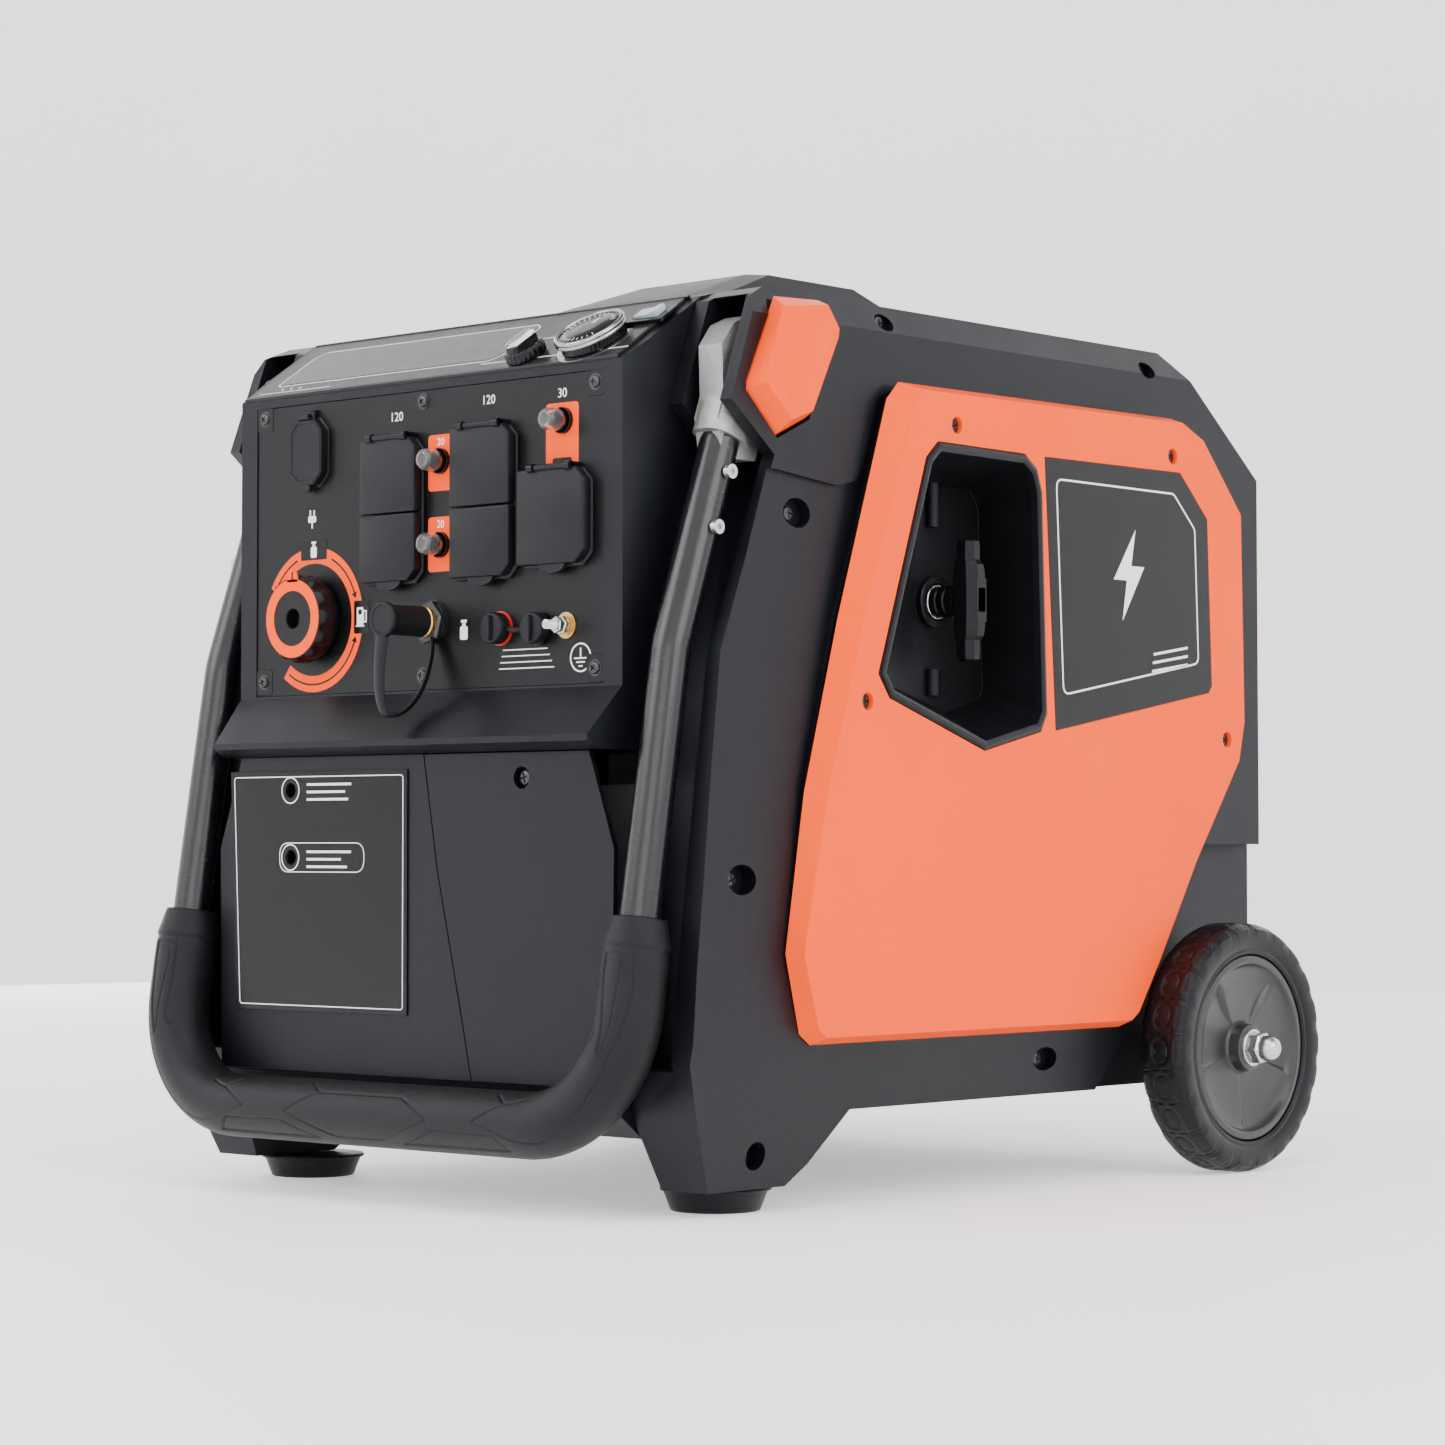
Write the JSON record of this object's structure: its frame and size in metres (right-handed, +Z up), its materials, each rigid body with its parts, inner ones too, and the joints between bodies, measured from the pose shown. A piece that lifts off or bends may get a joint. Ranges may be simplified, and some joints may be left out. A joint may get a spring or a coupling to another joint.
{
  "type": "portable inverter generator",
  "caption": "Wheeled dual-fuel inverter generator with a closed housing, side starter grip, front control panel with covered outlets and a folding U-shaped pull handle.",
  "frame": {"origin": "On the floor under the middle of the housing's bounding box; the starter side faces +X, the control panel faces -Y and the wheels are at +Y.", "axes": "+X is the object's left-to-right with the starter grip on the +X side, +Y runs from the control panel to the wheels, +Z is up."},
  "size_m": [0.622, 0.686, 0.615],
  "materials": {
    "housing": "textured",
    "orange": "satin",
    "black_plate": "smooth",
    "display": "glossy",
    "decal": "satin",
    "recess": "textured",
    "rubber": "matte",
    "grip_foam": "matte",
    "tyre": "matte",
    "wheel_plastic": "smooth",
    "handle_paint": "satin",
    "cast_aluminium": "cast",
    "dark_screws": "dark",
    "steel": "plated",
    "brass": "turned",
    "chrome_dial": "polished",
    "knob": "smooth",
    "pale_plastic": "translucent",
    "breaker_boot": "translucent",
    "outlet": "satin",
    "flap": "satin",
    "rope": "braided",
    "engine_alu": "cast",
    "rotor_iron": "machined",
    "copper_stator": "wound",
    "muffler_steel": "heat-stained",
    "tank": "moulded",
    "internal_plastic": "moulded"
  },
  "bodies": {
    "housing": {"base_pan": "housing", "right_side_shell": "housing", "left_side_shell": "housing", "top_cover": "housing", "front_fascia": "housing", "control_plate": "black_plate", "display_panel": "display", "lower_front_cover": "housing", "maintenance_cover": "housing", "label_plates": "decal", "rear_cover": "housing", "right_side_panel": "orange", "left_side_panel": "orange", "starter_pocket": "recess", "rope_guide": "steel", "housing_screws": "dark_screws", "front_feet": "rubber", "axle": "steel", "axle_nuts": "steel", "fuel_tank": "tank", "engine_block": "engine_alu", "stator": "copper_stator", "muffler": "muffler_steel", "air_cleaner": "internal_plastic", "inverter_module": "engine_alu", "battery": "internal_plastic", "outlets": "outlet", "breaker_bodies": "outlet", "lpg_fitting": "brass", "ground_stud": "brass", "starter_rope": "rope"},
    "handle": {"handle_tube": "handle_paint", "handle_grip": "grip_foam", "handle_brackets": "cast_aluminium", "handle_hardware": "steel"},
    "right_latch": {"right_latch_button": "orange"},
    "left_latch": {"left_latch_button": "orange"},
    "right_wheel": {"right_tyre": "tyre", "right_wheel_hub": "wheel_plastic"},
    "left_wheel": {"left_tyre": "tyre", "left_wheel_hub": "wheel_plastic"},
    "starter": {"starter_grip": "rubber"},
    "crank": {"flywheel_rotor": "rotor_iron"},
    "pulley": {"recoil_pulley": "internal_plastic"},
    "fuel_selector": {"fuel_selector_knob": "knob"},
    "dial": {"start_dial": "chrome_dial"},
    "small_knob": {"mode_knob": "knob"},
    "rocker": {"rocker_switch": "pale_plastic"},
    "breaker_1": {"breaker_button_1": "breaker_boot"},
    "breaker_2": {"breaker_button_2": "breaker_boot"},
    "breaker_3": {"breaker_button_3": "breaker_boot"},
    "flap_a_upper": {"outlet_a_upper_cover": "flap"},
    "flap_a_lower": {"outlet_a_lower_cover": "flap"},
    "flap_b_upper": {"outlet_b_upper_cover": "flap"},
    "flap_b_lower": {"outlet_b_lower_cover": "flap"},
    "flap_c": {"outlet_c_cover": "flap"},
    "flap_usb": {"usb_cover": "flap"},
    "gas_cap": {"lpg_cap": "rubber"},
    "jack_cap": {"jack_caps": "rubber"},
    "tank_cap": {"fuel_cap": "knob"}
  },
  "joints": [
    {"name": "handle_fold", "type": "hinge", "parent": "housing", "child": "handle", "pos_m": [0, -0.21, 0.55], "axis": [-1, 0, 0], "range_deg": [0, 80]},
    {"name": "right_latch_press", "type": "slide", "parent": "housing", "child": "right_latch", "axis": [-1, 0, 0], "range_m": [0, 0.004], "stiffness_N_per_m": 800, "springref_m": -0.003},
    {"name": "left_latch_press", "type": "slide", "parent": "housing", "child": "left_latch", "axis": [1, 0, 0], "range_m": [0, 0.004], "stiffness_N_per_m": 800, "springref_m": -0.003},
    {"name": "right_wheel_spin", "type": "hinge", "parent": "housing", "child": "right_wheel", "pos_m": [0.27, 0.25, 0.088], "axis": [1, 0, 0], "continuous": true},
    {"name": "left_wheel_spin", "type": "hinge", "parent": "housing", "child": "left_wheel", "pos_m": [-0.27, 0.25, 0.088], "axis": [1, 0, 0], "continuous": true},
    {"name": "starter_pull", "type": "slide", "parent": "housing", "child": "starter", "axis": [1, 0, 0], "range_m": [0, 0.6], "stiffness_N_per_m": 20, "springref_m": -0.3, "deforming": ["starter_rope"]},
    {"name": "recoil_pulley_spin", "type": "hinge", "parent": "housing", "child": "pulley", "pos_m": [0.127, 0.0395, 0.25], "axis": [1, 0, 0], "range_deg": [-780, 0]},
    {"name": "crank_spin", "type": "hinge", "parent": "housing", "child": "crank", "pos_m": [0.06, 0.0395, 0.25], "axis": [1, 0, 0], "continuous": true},
    {"name": "fuel_selector_turn", "type": "hinge", "parent": "housing", "child": "fuel_selector", "pos_m": [-0.1075, -0.29, 0.3835], "axis": [0, -1, 0], "range_deg": [-90, 0]},
    {"name": "start_dial_turn", "type": "hinge", "parent": "housing", "child": "dial", "pos_m": [0.138, -0.26556, 0.55431], "axis": [0, -0.555, 0.8319], "range_deg": [-60, 60]},
    {"name": "mode_knob_turn", "type": "hinge", "parent": "housing", "child": "small_knob", "pos_m": [0.086, -0.2743, 0.54848], "axis": [0, -0.555, 0.8319], "range_deg": [-45, 45]},
    {"name": "rocker_tilt", "type": "hinge", "parent": "housing", "child": "rocker", "pos_m": [0.165, -0.23908, 0.56597], "axis": [0, 0.8319, 0.555], "range_deg": [-6, 6]},
    {"name": "breaker_1_press", "type": "slide", "parent": "housing", "child": "breaker_1", "axis": [0, 1, 0], "range_m": [0, 0.003], "stiffness_N_per_m": 300, "springref_m": -0.003},
    {"name": "breaker_2_press", "type": "slide", "parent": "housing", "child": "breaker_2", "axis": [0, 1, 0], "range_m": [0, 0.003], "stiffness_N_per_m": 300, "springref_m": -0.003},
    {"name": "breaker_3_press", "type": "slide", "parent": "housing", "child": "breaker_3", "axis": [0, 1, 0], "range_m": [0, 0.003], "stiffness_N_per_m": 300, "springref_m": -0.003},
    {"name": "flap_a_upper_lift", "type": "hinge", "parent": "housing", "child": "flap_a_upper", "pos_m": [0, -0.292, 0.5], "axis": [-1, 0, 0], "range_deg": [0, 100]},
    {"name": "flap_a_lower_lift", "type": "hinge", "parent": "housing", "child": "flap_a_lower", "pos_m": [0, -0.292, 0.4494], "axis": [-1, 0, 0], "range_deg": [0, 100]},
    {"name": "flap_b_upper_lift", "type": "hinge", "parent": "housing", "child": "flap_b_upper", "pos_m": [0, -0.292, 0.502], "axis": [-1, 0, 0], "range_deg": [0, 100]},
    {"name": "flap_b_lower_lift", "type": "hinge", "parent": "housing", "child": "flap_b_lower", "pos_m": [0, -0.292, 0.4494], "axis": [-1, 0, 0], "range_deg": [0, 100]},
    {"name": "flap_c_lift", "type": "hinge", "parent": "housing", "child": "flap_c", "pos_m": [0, -0.292, 0.47], "axis": [-1, 0, 0], "range_deg": [0, 100]},
    {"name": "flap_usb_lift", "type": "hinge", "parent": "housing", "child": "flap_usb", "pos_m": [0, -0.292, 0.519], "axis": [-1, 0, 0], "range_deg": [0, 100]},
    {"name": "gas_cap_pull", "type": "slide", "parent": "housing", "child": "gas_cap", "axis": [0, -1, 0], "range_m": [0, 0.03]},
    {"name": "jack_cap_pull", "type": "slide", "parent": "housing", "child": "jack_cap", "axis": [0, -1, 0], "range_m": [0, 0.02]},
    {"name": "fuel_cap_lift", "type": "slide", "parent": "housing", "child": "tank_cap", "axis": [0, 0, 1], "range_m": [0, 0.04]}
  ],
  "couplings": [
    {"joint": "recoil_pulley_spin", "follows": "starter_pull", "rad_per_m": -22.472}
  ]
}
